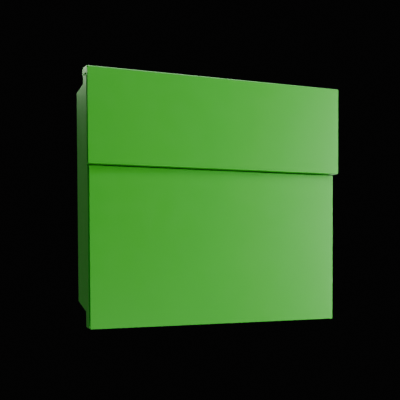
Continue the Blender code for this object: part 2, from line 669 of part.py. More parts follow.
def make_lock(nickel, zinc):
    """The barrel and its nut stay on the slot panel. The plug, cam and screw turn."""
    flange = LOCK_FLANGE
    at = (0, RIM_FRONT - SEAT, LOCK_Z)
    bore = PLUG_RADIUS + SHAFT_GAP
    length = LOCK_LENGTH - SEAT
    edge = 0.3 * flange
    rim = LOCK_RADIUS + LOCK_FLANGE_LAP
    profile = [
        (bore, -flange), (rim - edge, -flange), (rim, -flange + edge), (rim, 0),
        (LOCK_RADIUS, 0), (LOCK_RADIUS, length), (bore, length),
    ]
    turned("lock_barrel", profile, at, (0, 1, 0), nickel, steps=36)
    nut_at = (0, PANEL_BACK + SEAT, LOCK_Z)
    hex_nut("lock_nut", nut_at, LOCK_RADIUS + SHAFT_GAP, LOCK_NUT_RADIUS, LOCK_NUT_HEIGHT, zinc)
    front = RIM_FRONT - SEAT - flange
    plug_length = CAM_FRONT - SEAT - front
    plug_at = (0, front, LOCK_Z)
    plug = turned("lock_plug", rod_profile(PLUG_RADIUS, 0, plug_length), plug_at, (0, 1, 0), nickel)
    half_way, half_height = KEYWAY_WIDTH / 2, KEYWAY_HEIGHT / 2
    keyway_depth = (front - flange, front + KEYWAY_DEPTH)
    keyway_z = (LOCK_Z - half_height, LOCK_Z + half_height)
    cut(plug, block("keyway", (-half_way, half_way), keyway_depth, keyway_z, None))
    cam = make_cam(zinc)
    cam_back = CAM_FRONT + CAM_SHEET
    screw_at = (0, cam_back + SEAT, LOCK_Z)
    rim, top = CAM_SCREW_RADIUS, CAM_SCREW_HEAD
    head = [(0, 0), (rim, 0), (rim, 0.8 * top), (0.87 * rim, top), (0, top)]
    screw = turned("cam_screw", head, screw_at, (0, 1, 0), zinc, 24)
    return [plug, cam, screw]


def make_cam(zinc):
    """A flat lever with round ends that points to +X."""
    half = CAM_WIDTH / 2
    tip = CAM_LENGTH - half
    start = arc_points((0, 0), half, math.radians(90), math.pi, 12)
    end = arc_points((tip, 0), half, -math.radians(90), math.pi, 12)
    bm = bmesh.new()
    ring = [bm.verts.new((x, at_depth(CAM_FRONT), LOCK_Z + z)) for x, z in start + end]
    face = bm.faces.new(ring)
    grown = bmesh.ops.extrude_face_region(bm, geom=[face])
    moved = [item for item in grown["geom"] if isinstance(item, bmesh.types.BMVert)]
    bmesh.ops.translate(bm, verts=moved, vec=(0, CAM_SHEET, 0))
    return from_bmesh("lock_cam", bm, zinc)


def hang_on(pivot_name, depth, z, pieces):
    """Parents the pieces to an empty on their joint's axis."""
    pivot = bpy.data.objects.new(pivot_name, None)
    pivot.location = (0, at_depth(depth), z)
    bpy.context.scene.collection.objects.link(pivot)
    for piece in pieces:
        piece.parent = pivot
        piece.location -= pivot.location


def main():
    clear_scene()
    green = make_material("green_powder_coat", (0.102, 0.402, 0.06), 0.0, 0.42)
    steel = make_material("stainless_steel", (0.56, 0.57, 0.58), 1.0, 0.3)
    zinc = make_material("zinc_plate", (0.52, 0.54, 0.56), 1.0, 0.38)
    nickel = make_material("nickel_plate", (0.6, 0.58, 0.54), 1.0, 0.22)
    rubber = make_material("black_rubber", (0.02, 0.02, 0.02), 0.0, 0.75)
    nylon = make_material("black_nylon", (0.03, 0.03, 0.03), 0.0, 0.5)
    make_sides(green)
    roof_panel = make_roof(green)
    make_floor(green)
    make_back(green)
    make_front_angles(green)
    make_slot_panel(green)
    make_letter_guide(green, zinc)
    make_buffers(rubber)
    make_flap_hinge(roof_panel, green, steel)
    make_door_hinge(steel, nylon, green)
    hang_on("flap_pivot", FLAP_PIN_DEPTH, FLAP_PIN_Z, make_flap(green))
    hang_on("door_pivot", DOOR_PIN_DEPTH, DOOR_PIN_Z, make_door(green, zinc))
    hang_on("lock_pivot", RIM_FRONT, LOCK_Z, make_lock(nickel, zinc))


main()
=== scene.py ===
"""Looks for the wall mounted mailbox: folded sheet steel in green powder coat."""

import json
import math

import bpy
from mathutils import Matrix, Vector


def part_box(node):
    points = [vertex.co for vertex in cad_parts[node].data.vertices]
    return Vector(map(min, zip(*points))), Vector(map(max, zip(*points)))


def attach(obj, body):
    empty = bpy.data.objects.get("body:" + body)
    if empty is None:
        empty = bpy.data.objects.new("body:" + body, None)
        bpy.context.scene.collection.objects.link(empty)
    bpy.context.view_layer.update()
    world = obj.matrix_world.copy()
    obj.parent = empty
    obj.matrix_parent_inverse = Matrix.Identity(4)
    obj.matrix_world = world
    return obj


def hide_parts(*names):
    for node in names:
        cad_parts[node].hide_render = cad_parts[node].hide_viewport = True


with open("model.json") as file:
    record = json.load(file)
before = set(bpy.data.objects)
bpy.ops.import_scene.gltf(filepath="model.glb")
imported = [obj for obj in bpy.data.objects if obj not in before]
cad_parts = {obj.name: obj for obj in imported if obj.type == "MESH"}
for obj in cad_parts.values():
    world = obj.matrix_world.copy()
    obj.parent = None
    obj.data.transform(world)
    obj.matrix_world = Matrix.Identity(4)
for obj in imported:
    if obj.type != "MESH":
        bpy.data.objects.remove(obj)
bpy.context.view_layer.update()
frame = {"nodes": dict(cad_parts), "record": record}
nodes = frame["nodes"]

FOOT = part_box("door_panel")[0].z

# Sheets and folds, in metres
FRONT_HEIGHT = 0.344
FLAP_SHEET = 0.002
DOOR_SHEET = 0.0015
SIDE_SHEET = 0.002
SHELL_SHEET = 0.0015
TRAY_SHEET = 0.0012
FOLD = 0.0018
FLAP_TOP_FOLD = 0.0012
FLAP_RETURN = 0.019
ROLL_RADIUS = 0.004
EAR_SHEET = 0.0009
EAR_DEPTH = 0.014
EAR_RADIUS = 0.005
EAR_GAP = 0.0012
EAR_DROP = 0.0013
EAR_REACH = 0.008
EAR_THROAT = 0.0068
EAR_SWEEP = 0.012
FLAP_EDGE = 0.0008
DOOR_EDGE = 0.0006
ROLL_ROOM = 0.0011
ROLL_TURN = 255

# Housing, with depths from the wall
RIM_BACK_TOP = -0.0545
SIDE_RELIEF = 0.003
RIM_BACK_FOOT = -0.0635
BODY_LIFT = 0.021
HOLE_INSET_X = 0.045
HOLE_INSET_Z = 0.035
WALL_HOLE = 0.0035
SLOT_RISE = 0.0558
SLOT_HEIGHT = 0.036
SLOT_CORNER = 0.003
GATE_ROOM = 0.0022
GUIDE_LENGTH = 0.030
GUIDE_DROP = 0.012
EYE_FOOT = 0.007
ARM_HEEL = -0.0831
ARM_LEAN = 0.0031
ARM_GAP = 0.0006

# Door, tray and lock
TRAY_FOOT = 0.0274
TRAY_LIP = 0.040
TRAY_ROOM = 0.0003
STRIKER_HEIGHT = 0.0192
KNUCKLE_RADIUS = 0.0027
PIVOT_RADIUS = 0.0015
PIVOT_HEAD = 0.0028
PIVOT_HEAD_HEIGHT = 0.0016
STUD_RADIUS = 0.0015
STUD_LENGTH = 0.006
RIVET_RADIUS = 0.0016
RIVET_HOLE = 0.0018
RIVET_HEAD = 0.0032
RIVET_CROWN = 0.0012
LOCK_RADIUS = 0.0093
LOCK_FLANGE = 0.002
PLUG_RADIUS = 0.0058
KEYWAY_WIDTH = 0.0014
KEYWAY_HEIGHT = 0.0072
KEYWAY_DEPTH = 0.009
CROSS_BLADE = 0.0004
CROSS_REACH = 0.0021

# Corners in an outline, edges eased after cutting, and the angle past which an edge is sharp
TIGHT_CORNER = 0.0008
CORNER = 0.001
EASY_CORNER = 0.0015
OPEN_CORNER = 0.002
ROUND_CORNER = 0.003
THIN_EDGE = 0.0003
SHEET_EDGE = 0.0004
PLATE_EDGE = 0.0005
FINE_EDGE = 0.0001
SHARP_ANGLE = 40

# Room left round what goes through a hole, and how far a cutter goes past the sheet
PIN_ROOM = 0.0001
STUD_ROOM = 0.0002
LOCK_ROOM = 0.0003
EYE_ROOM = 0.0006
CUT_REACH = 0.01
CUT_LEAD = 0.001

# A drawn line starts from a plane of this size, merged to a point
START_SIZE = 0.001

# Rings of turned pieces, as (radius, height)
RIVET_DIMPLE = [(0.0013, -0.0001), (0.0011, -0.0007), (0.0009, -0.0007), (0.0008, -0.0003), (0.0003, -0.0002)]
BUFFER_FOOT = [(0.95, 0), (1, 0.06), (1, 0.16), (0.9, 0.2)]

# The keyway's outline, in halves of its width and height
KEYWAY_SHAPE = [(-1, -1), (1, -1), (1, -0.2), (0.1, -0.1), (0.1, 0.2), (1, 0.3), (1, 1), (-1, 1)]


# Materials


def new_group(name, inputs, outputs):
    """A shader node group with these (name, default) inputs and (name, type) outputs."""
    group = bpy.data.node_groups.new(name, "ShaderNodeTree")
    for label, default in inputs:
        kind = "NodeSocketColor" if isinstance(default, tuple) else "NodeSocketFloat"
        socket = group.interface.new_socket(name=label, in_out="INPUT", socket_type=kind)
        socket.default_value = default
    for label, kind in outputs:
        group.interface.new_socket(name=label, in_out="OUTPUT", socket_type=kind)
    start = group.nodes.new("NodeGroupInput")
    end = group.nodes.new("NodeGroupOutput")
    return group, start, end


def noise(tree, coordinates, scale, detail=2.0, roughness=0.5):
    node = tree.nodes.new("ShaderNodeTexNoise")
    node.inputs["Scale"].default_value = scale
    node.inputs["Detail"].default_value = detail
    node.inputs["Roughness"].default_value = roughness
    tree.links.new(coordinates, node.inputs["Vector"])
    return node.outputs["Fac"]


def spread(tree, value, low, high):
    """Maps 0.35..0.65 of a noise to low..high."""
    node = tree.nodes.new("ShaderNodeMapRange")
    node.inputs["From Min"].default_value = 0.35
    node.inputs["From Max"].default_value = 0.65
    tree.links.new(value, node.inputs["Value"])
    for label, number in (("To Min", low), ("To Max", high)):
        if isinstance(number, float):
            node.inputs[label].default_value = number
        else:
            tree.links.new(number, node.inputs[label])
    return node.outputs["Result"]


def math_node(tree, operation, first, second):
    node = tree.nodes.new("ShaderNodeMath")
    node.operation = operation
    for socket, value in zip(node.inputs, (first, second)):
        if isinstance(value, (int, float)):
            socket.default_value = value
        else:
            tree.links.new(value, socket)
    return node.outputs["Value"]


def stretched(tree, coordinates, scale):
    node = tree.nodes.new("ShaderNodeMapping")
    node.inputs["Scale"].default_value = scale
    tree.links.new(coordinates, node.inputs["Vector"])
    return node.outputs["Vector"]


def clouded(tree, colour, value, amount):
    """The colour, lighter and darker by this amount as a noise goes up and down."""
    low = math_node(tree, "SUBTRACT", 1.0, amount)
    high = math_node(tree, "ADD", 1.0, amount)
    shade = tree.nodes.new("ShaderNodeHueSaturation")
    tree.links.new(spread(tree, value, low, high), shade.inputs["Value"])
    tree.links.new(colour, shade.inputs["Color"])
    return shade.outputs["Color"]


def uneven(tree, base, value, amount):
    shift = spread(tree, value, math_node(tree, "MULTIPLY", amount, -1.0), amount)
    return math_node(tree, "ADD", base, shift)


SURFACE_INPUTS = [("Colour", (0.5, 0.5, 0.5, 1)), ("Roughness", 0.4), ("Unevenness", 0.05), ("Cloud", 0.04)]
SURFACE_OUTPUTS = [
    ("Colour", "NodeSocketColor"),
    ("Roughness", "NodeSocketFloat"),
    ("Height", "NodeSocketFloat"),
]


def finish_group(group, end, colour, roughness, height):
    for label, value in (("Colour", colour), ("Roughness", roughness), ("Height", height)):
        group.links.new(value, end.inputs[label])
    return group


def make_coat_group():
    """Powder coat: a fine orange-peel surface, faint cloudiness in the colour and uneven gloss."""
    group, start, end = new_group("powder_coat_surface", SURFACE_INPUTS, SURFACE_OUTPUTS)
    where = group.nodes.new("ShaderNodeTexCoord").outputs["Object"]
    peel = noise(group, where, scale=900.0, detail=3.0, roughness=0.45)
    waves = noise(group, where, scale=260.0, detail=1.0, roughness=0.4)
    height = math_node(group, "ADD", math_node(group, "MULTIPLY", peel, 0.5), waves)
    cloud = noise(group, where, scale=14.0, detail=3.0, roughness=0.55)
    gloss = noise(group, where, scale=55.0, detail=2.0, roughness=0.5)
    colour = clouded(group, start.outputs["Colour"], cloud, start.outputs["Cloud"])
    roughness = uneven(group, start.outputs["Roughness"], gloss, start.outputs["Unevenness"])
    return finish_group(group, end, colour, roughness, height)


def make_metal_group():
    """Turned or plated metal: fine upright tool lines, faint stains and a grain in the gloss."""
    group, start, end = new_group("worked_metal_surface", SURFACE_INPUTS, SURFACE_OUTPUTS)
    where = group.nodes.new("ShaderNodeTexCoord").outputs["Object"]
    along = stretched(group, where, (4000.0, 4000.0, 300.0))
    lines = noise(group, along, scale=1.0, detail=2.0, roughness=0.6)
    grain = noise(group, where, scale=2400.0, detail=2.0, roughness=0.6)
    stains = noise(group, where, scale=160.0, detail=4.0, roughness=0.6)
    height = math_node(group, "ADD", lines, math_node(group, "MULTIPLY", grain, 0.4))
    colour = clouded(group, start.outputs["Colour"], stains, start.outputs["Cloud"])
    half_stains = math_node(group, "MULTIPLY", stains, 0.5)
    half_lines = math_node(group, "MULTIPLY", lines, 0.5)
    mixed = math_node(group, "ADD", half_stains, half_lines)
    roughness = uneven(group, start.outputs["Roughness"], mixed, start.outputs["Unevenness"])
    return finish_group(group, end, colour, roughness, height)


def make_moulded_group():
    """Moulded rubber or nylon: a pebbled skin, with a pale bloom in patches that are also duller."""
    group, start, end = new_group("moulded_surface", SURFACE_INPUTS, SURFACE_OUTPUTS)
    where = group.nodes.new("ShaderNodeTexCoord").outputs["Object"]
    pebbles = noise(group, where, scale=3200.0, detail=3.0, roughness=0.55)
    bloom = noise(group, where, scale=340.0, detail=4.0, roughness=0.6)
    colour = clouded(group, start.outputs["Colour"], bloom, start.outputs["Cloud"])
    roughness = uneven(group, start.outputs["Roughness"], bloom, start.outputs["Unevenness"])
    return finish_group(group, end, colour, roughness, pebbles)


def principled(name, colour, metallic, roughness):
    material = bpy.data.materials.new(name)
    material.use_nodes = True
    shader = material.node_tree.nodes["Principled BSDF"]
    shader.inputs["Base Color"].default_value = (*colour, 1)
    shader.inputs["Metallic"].default_value = metallic
    shader.inputs["Roughness"].default_value = roughness
    material.diffuse_color = (*colour, 1)
    return material, shader


def finish(name, group, colour, metallic, gloss, cloud, relief):
    """A finish from a shared group. Gloss is (roughness, unevenness) and relief is (strength, distance)."""
    material, shader = principled(name, colour, metallic, gloss[0])
    tree = material.node_tree
    surface = tree.nodes.new("ShaderNodeGroup")
    surface.node_tree = group
    surface.inputs["Colour"].default_value = (*colour, 1)
    surface.inputs["Roughness"].default_value, surface.inputs["Unevenness"].default_value = gloss
    surface.inputs["Cloud"].default_value = cloud
    bump = tree.nodes.new("ShaderNodeBump")
    bump.inputs["Strength"].default_value, bump.inputs["Distance"].default_value = relief
    tree.links.new(surface.outputs["Height"], bump.inputs["Height"])
    tree.links.new(bump.outputs["Normal"], shader.inputs["Normal"])
    tree.links.new(surface.outputs["Colour"], shader.inputs["Base Color"])
    tree.links.new(surface.outputs["Roughness"], shader.inputs["Roughness"])
    return material


coat = make_coat_group()
metal = make_metal_group()
moulded = make_moulded_group()
FINISH_VALUES = {
    "green_powder_coat": (coat, (0.03, 0.42, 0.012), 0.0, (0.4, 0.015), 0.01, (0.12, 0.0004)),
    "stainless_steel": (metal, (0.56, 0.57, 0.58), 1.0, (0.3, 0.08), 0.06, (0.15, 0.00005)),
    "zinc_plate": (metal, (0.52, 0.55, 0.6), 1.0, (0.38, 0.12), 0.14, (0.2, 0.00006)),
    "nickel_plate": (metal, (0.6, 0.57, 0.52), 1.0, (0.22, 0.05), 0.05, (0.1, 0.00004)),
    "black_rubber": (moulded, (0.02, 0.02, 0.02), 0.0, (0.75, 0.12), 0.35, (0.3, 0.00008)),
    "black_nylon": (moulded, (0.03, 0.03, 0.03), 0.0, (0.5, 0.08), 0.2, (0.15, 0.00005)),
}
FINISHES = {name: finish(name, *values) for name, values in FINISH_VALUES.items()}
for part in frame["record"]["subparts"]:
    nodes[part["node"]].material_slots[0].material = FINISHES[part["material_slot"]]


# Modelling


def only(piece):
    bpy.ops.object.select_all(action="DESELECT")
    piece.select_set(True)
    bpy.context.view_layer.objects.active = piece


def apply_modifiers(piece):
    only(piece)
    for modifier in list(piece.modifiers):
        bpy.ops.object.modifier_apply(modifier=modifier.name)


def extrude(step):
    bpy.ops.mesh.extrude_region_move(TRANSFORM_OT_translate={"value": step})


def draw_line(name, points):
    """Draws edges through these points, starting with a small plane merged to one, and stays in edit mode."""
    bpy.ops.object.select_all(action="DESELECT")
    bpy.ops.mesh.primitive_plane_add(size=START_SIZE, location=points[0])
    piece = bpy.context.object
    piece.name = name
    bpy.ops.object.transform_apply(location=True, rotation=False, scale=False)
    bpy.ops.object.mode_set(mode="EDIT")
    bpy.ops.mesh.select_all(action="SELECT")
    bpy.ops.mesh.merge(type="CENTER")
    for before, after in zip(points, points[1:]):
        extrude(Vector(after) - Vector(before))
    return piece


def close_mesh():
    """Merges doubles, turns the faces outwards and leaves edit mode."""
    bpy.ops.mesh.select_all(action="SELECT")
    bpy.ops.mesh.remove_doubles(threshold=1e-6)
    bpy.ops.mesh.normals_make_consistent(inside=False)
    bpy.ops.object.mode_set(mode="OBJECT")


def arc(centre, radius, start, turn, steps):
    """Points on a circle, from the start angle through the turn, in degrees."""
    angles = [math.radians(start + turn * step / steps) for step in range(steps + 1)]
    return [(centre[0] + radius * math.cos(a), centre[1] + radius * math.sin(a)) for a in angles]


def rounded(corners, radius, closed=False, steps=6):
    """The line through these corners, each inner one an arc. A corner's third value is its own radius."""
    points = [] if closed else [tuple(corners[0][:2])]
    count = len(corners)
    inner = range(count) if closed else range(1, count - 1)
    for index in inner:
        corner = Vector(corners[index][:2])
        own = corners[index][2] if len(corners[index]) > 2 else radius
        back = (Vector(corners[index - 1][:2]) - corner).normalized()
        ahead = (Vector(corners[(index + 1) % count][:2]) - corner).normalized()
        half = back.angle(ahead) / 2
        if own == 0 or half > math.radians(89):
            points.append(tuple(corner))
            continue
        centre = corner + (back + ahead).normalized() * own / math.sin(half)
        first = corner + back * own / math.tan(half) - centre
        last = corner + ahead * own / math.tan(half) - centre
        turn = first.angle_signed(last)
        turns = [Matrix.Rotation(-turn * step / steps, 2) for step in range(steps + 1)]
        points += [tuple(centre + rotation @ first) for rotation in turns]
    return points if closed else points + [tuple(corners[-1][:2])]


def across_x(points, x):
    return [(x, y, z) for y, z in points]


def up_z(points, z):
    return [(x, y, z) for x, y in points]


def folded_sheet(name, line, width, thickness):
    """A sheet of this thickness, centred on a line of points, as wide as the width vector."""
    piece = draw_line(name, line)
    bpy.ops.mesh.select_all(action="SELECT")
    extrude(width)
    close_mesh()
    wall = piece.modifiers.new("sheet", "SOLIDIFY")
    wall.thickness = thickness
    wall.offset = 0
    wall.use_even_offset = True
    apply_modifiers(piece)
    return piece


def flat_plate(name, outline, thickness):
    """A plate with this closed outline, as thick as the thickness vector."""
    piece = draw_line(name, outline)
    bpy.ops.mesh.select_all(action="SELECT")
    bpy.ops.mesh.edge_face_add()
    extrude(thickness)
    close_mesh()
    return piece


def turned(name, profile, centre, axis, steps=40):
    """Rings of (radius, height) along the axis. A profile that comes back to its start leaves a bore."""
    hollow = profile[0] == profile[-1]
    fill = "NOTHING" if hollow else "NGON"
    bpy.ops.object.select_all(action="DESELECT")
    radius, height = profile[0]
    bpy.ops.mesh.primitive_circle_add(vertices=steps, radius=radius, fill_type=fill, location=(0, 0, height))
    piece = bpy.context.object
    piece.name = name
    bpy.ops.object.transform_apply(location=True, rotation=False, scale=False)
    bpy.ops.object.mode_set(mode="EDIT")
    bpy.ops.mesh.select_all(action="SELECT")
    for before, after in zip(profile, profile[1:]):
        extrude((0, 0, after[1] - before[1]))
        share = after[0] / before[0]
        bpy.ops.transform.resize(value=(share, share, 1))
    close_mesh()
    piece.rotation_euler = Vector(axis).to_track_quat("Z", "Y").to_euler()
    piece.location = centre
    only(piece)
    bpy.ops.object.transform_apply(location=True, rotation=True, scale=False)
    return piece


def trim(piece, tool, operation="DIFFERENCE"):
    modifier = piece.modifiers.new(tool.name, "BOOLEAN")
    modifier.operation = operation
    modifier.object = tool
    apply_modifiers(piece)
    bpy.data.objects.remove(tool)


def drill(piece, centre, axis, radius, reach=CUT_REACH):
    trim(piece, turned("drill", [(radius, -reach), (radius, reach)], centre, axis))


def mill(piece, low, high):
    """Takes a rectangular block out of the piece."""
    outline = [(low[0], low[1]), (high[0], low[1]), (high[0], high[1]), (low[0], high[1])]
    trim(piece, flat_plate("mill", up_z(outline, low[2]), (0, 0, high[2] - low[2])))


def soften(piece, width, segments=3, angle=SHARP_ANGLE):
    """Rounds every edge that is sharper than the angle."""
    edge = piece.modifiers.new("edges", "BEVEL")
    edge.width = width
    edge.segments = segments
    edge.limit_method = "ANGLE"
    edge.angle_limit = math.radians(angle)
    apply_modifiers(piece)


def hand_over(piece, body, slot, *cad_nodes):
    """Smooths the piece, gives it its finish and lets it ride on its body in place of these nodes."""
    only(piece)
    bpy.ops.object.shade_smooth_by_angle(angle=math.radians(SHARP_ANGLE))
    piece.modifiers.new("normals", "WEIGHTED_NORMAL").keep_sharp = True
    apply_modifiers(piece)
    piece.data.materials.clear()
    piece.data.materials.append(FINISHES[slot])
    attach(piece, body)
    if cad_nodes:
        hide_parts(*cad_nodes)
    return piece


def copy_of(piece, name, move):
    """A copy with its own mesh, moved by this vector."""
    twin = piece.copy()
    twin.data = piece.data.copy()
    twin.name = name
    twin.data.transform(Matrix.Translation(move))
    bpy.context.scene.collection.objects.link(twin)
    return twin


def repeat(piece, nodes, name):
    """The piece, modelled at the first node, and its copies at the others, each with its node."""
    start = middle_of(nodes[0])
    copies = [(copy_of(piece, name.format(node), middle_of(node) - start), node) for node in nodes[1:]]
    return [(piece, nodes[0]), *copies]


def both(node):
    return [f"{node}_left", f"{node}_right"]


def middle_of(node):
    low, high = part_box(node)
    return (low + high) / 2


# Housing


def make_sides():
    """The side plates: narrow where the rim is, wide where the body is, with a notch for the flap's roll."""
    low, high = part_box("side_panel_left")
    rod = middle_of("flap_hinge_pin")
    notch = rod.y + ROLL_RADIUS + ROLL_ROOM
    body_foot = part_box("back_panel")[0].z
    body_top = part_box("back_panel")[1].z
    rim_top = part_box("roof_panel")[1].z
    flap_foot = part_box("flap")[0].z
    corners = [
        (low.y, FOOT),
        (RIM_BACK_FOOT, FOOT, EASY_CORNER),
        (RIM_BACK_FOOT + SIDE_SHEET, FOOT + BODY_LIFT, OPEN_CORNER),
        (high.y, body_foot),
        (high.y, body_top),
        (RIM_BACK_TOP, body_top, EASY_CORNER),
        (RIM_BACK_TOP, high.z, EASY_CORNER),
        (notch, high.z, CORNER),
        (notch, rim_top),
        (low.y + SIDE_RELIEF, rim_top),
        (low.y + SIDE_RELIEF, flap_foot),
        (low.y, flap_foot),
    ]
    outline = rounded(corners, TIGHT_CORNER, closed=True)
    plate = flat_plate("side_panel_left_plate", across_x(outline, low.x), (high.x - low.x, 0, 0))
    soften(plate, PLATE_EDGE)
    for twin, node in repeat(plate, both("side_panel"), "{}_plate"):
        hand_over(twin, "housing", "green_powder_coat", node)


def make_roof():
    low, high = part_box("roof_panel")
    half = SHELL_SHEET / 2
    riser = RIM_BACK_TOP - half
    body_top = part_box("back_panel")[1].z
    line = rounded(
        [(low.y, high.z - half), (riser, high.z - half), (riser, body_top - half), (high.y, body_top - half)],
        FOLD,
    )
    roof = folded_sheet("roof_sheet", across_x(line, low.x), (high.x - low.x, 0, 0), SHELL_SHEET)
    for side in ("left", "right"):
        drill(roof, middle_of(f"bracket_rivet_{side}"), (0, 0, 1), RIVET_HOLE)
    soften(roof, THIN_EDGE)
    hand_over(roof, "housing", "green_powder_coat", "roof_panel")


def make_floor_sheet():
    low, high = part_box("floor_panel")
    half = SHELL_SHEET / 2
    line = rounded(
        [
            (low.y, low.z + half),
            (RIM_BACK_FOOT - half, low.z + half),
            (RIM_BACK_FOOT + SIDE_SHEET - half, FOOT + BODY_LIFT + half),
            (high.y, high.z - half),
        ],
        FOLD,
    )
    sheet = folded_sheet("floor_sheet", across_x(line, low.x), (high.x - low.x, 0, 0), SHELL_SHEET)
    soften(sheet, THIN_EDGE)
    hand_over(sheet, "housing", "green_powder_coat", "floor_panel")


def make_back():
    """The sheet against the wall, with a screw hole near each corner."""
    low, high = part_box("back_panel")
    corners = [(low.x, low.z), (high.x, low.z), (high.x, high.z), (low.x, high.z)]
    outline = rounded(corners, CORNER, closed=True)
    points = [(x, low.y, z) for x, z in outline]
    sheet = flat_plate("back_sheet", points, (0, high.y - low.y, 0))
    for x in (low.x + HOLE_INSET_X, high.x - HOLE_INSET_X):
        for z in (low.z + HOLE_INSET_Z, high.z - HOLE_INSET_Z):
            drill(sheet, (x, low.y, z), (0, 1, 0), WALL_HOLE)
    soften(sheet, SHEET_EDGE)
    hand_over(sheet, "housing", "green_powder_coat", "back_panel")


def make_angle(name, node):
    """An upright strip with a flange along its back edge and a web that reaches forwards."""
    low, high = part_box(node)
    half = SHELL_SHEET / 2
    flange_y = high.y - half
    web_at_high = (low.x + high.x > 0) == ("guard" in name)
    web_x = high.x - half if web_at_high else low.x + half
    flange_end = low.x if web_at_high else high.x
    line = rounded([(flange_end, flange_y), (web_x, flange_y), (web_x, low.y)], FOLD)
    strip = folded_sheet(name, up_z(line, low.z), (0, 0, high.z - low.z), SHELL_SHEET)
    soften(strip, THIN_EDGE)
    hand_over(strip, "housing", "green_powder_coat", node)


def guide_rivets():
    return [f"guide_rivet_{number}" for number in range(1, 5)]


def make_slot_plate():
    """The plate behind the flap: a slot with rounded corners, the lock's hole and the striker's gate."""
    low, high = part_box("slot_panel")
    outline = [(low.x, low.z), (high.x, low.z), (high.x, high.z), (low.x, high.z)]
    plate = flat_plate("slot_plate", [(x, low.y, z) for x, z in outline], (0, high.y - low.y, 0))
    guide_low, guide_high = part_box("letter_guide")
    slot_foot = foot_of_slot()
    slot = rounded(
        [
            (guide_low.x, slot_foot),
            (guide_high.x, slot_foot),
            (guide_high.x, slot_foot + SLOT_HEIGHT),
            (guide_low.x, slot_foot + SLOT_HEIGHT),
        ],
        SLOT_CORNER,
        closed=True,
    )
    front = [(x, low.y - CUT_REACH, z) for x, z in slot]
    cutter = flat_plate("slot_cutter", front, (0, 2 * CUT_REACH, 0))
    trim(plate, cutter)
    striker_low, striker_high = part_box("door_striker")
    gate_low = (striker_low.x - GATE_ROOM, low.y - CUT_REACH, low.z - CUT_REACH)
    gate_high = (striker_high.x + GATE_ROOM, high.y + CUT_REACH, striker_high.z + 1.5 * GATE_ROOM)
    mill(plate, gate_low, gate_high)
    drill(plate, middle_of("lock_barrel"), (0, 1, 0), LOCK_RADIUS + LOCK_ROOM)
    for rivet in guide_rivets():
        drill(plate, middle_of(rivet), (0, 1, 0), RIVET_HOLE)
    soften(plate, SHEET_EDGE)
    hand_over(plate, "housing", "green_powder_coat", "slot_panel")


def foot_of_slot():
    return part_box("flap")[0].z + SLOT_RISE


def make_guide_sheet():
    """The folded lip behind the slot that leads letters down into the box."""
    low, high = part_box("letter_guide")
    half = TRAY_SHEET / 2
    middle = low.y + half
    fold_z = foot_of_slot() - TRAY_SHEET
    tip = (middle + GUIDE_LENGTH, fold_z - GUIDE_DROP)
    line = rounded([(middle, low.z), (middle, fold_z), tip], FOLD)
    sheet = folded_sheet("guide_sheet", across_x(line, low.x), (high.x - low.x, 0, 0), TRAY_SHEET)
    for rivet in guide_rivets():
        drill(sheet, middle_of(rivet), (0, 1, 0), RIVET_HOLE)
    soften(sheet, THIN_EDGE)
    hand_over(sheet, "housing", "green_powder_coat", "letter_guide")


def make_rivet(node, axis):
    """A blind rivet: a low dome with the snapped mandrel in a dimple, and a swelled tail."""
    low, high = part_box(node)
    length = (high - low).dot(Vector([abs(value) for value in axis]))
    swell = 0.78 * RIVET_HEAD
    tail = [(RIVET_RADIUS - 0.0001, -length), (swell, 0.0004 - length), (swell, 0.001 - length)]
    shank = [(RIVET_RADIUS, RIVET_CROWN - length), (RIVET_RADIUS, -RIVET_CROWN)]
    dome = crown(RIVET_HEAD, RIVET_CROWN, (0, 18, 36, 54), -RIVET_CROWN)
    tip = (low + high) / 2 + Vector(axis) * length / 2
    return turned(f"{node}_dome", tail + shank + dome + RIVET_DIMPLE, tip, axis, steps=28)


def crown(radius, height, angles, foot=0.0):
    """Rings of a dome of this height, from its rim at 0 degrees to its top at 90."""
    turns = [math.radians(angle) for angle in angles]
    return [(radius * math.cos(turn), foot + height * math.sin(turn)) for turn in turns]


def make_rivets():
    for twin, node in repeat(make_rivet("guide_rivet_1", (0, -1, 0)), guide_rivets(), "{}_dome"):
        hand_over(twin, "housing", "zinc_plate", node)
    for twin, node in repeat(make_rivet("bracket_rivet_left", (0, 0, 1)), both("bracket_rivet"), "{}_dome"):
        hand_over(twin, "housing", "stainless_steel", node)


# Flap and its hinge


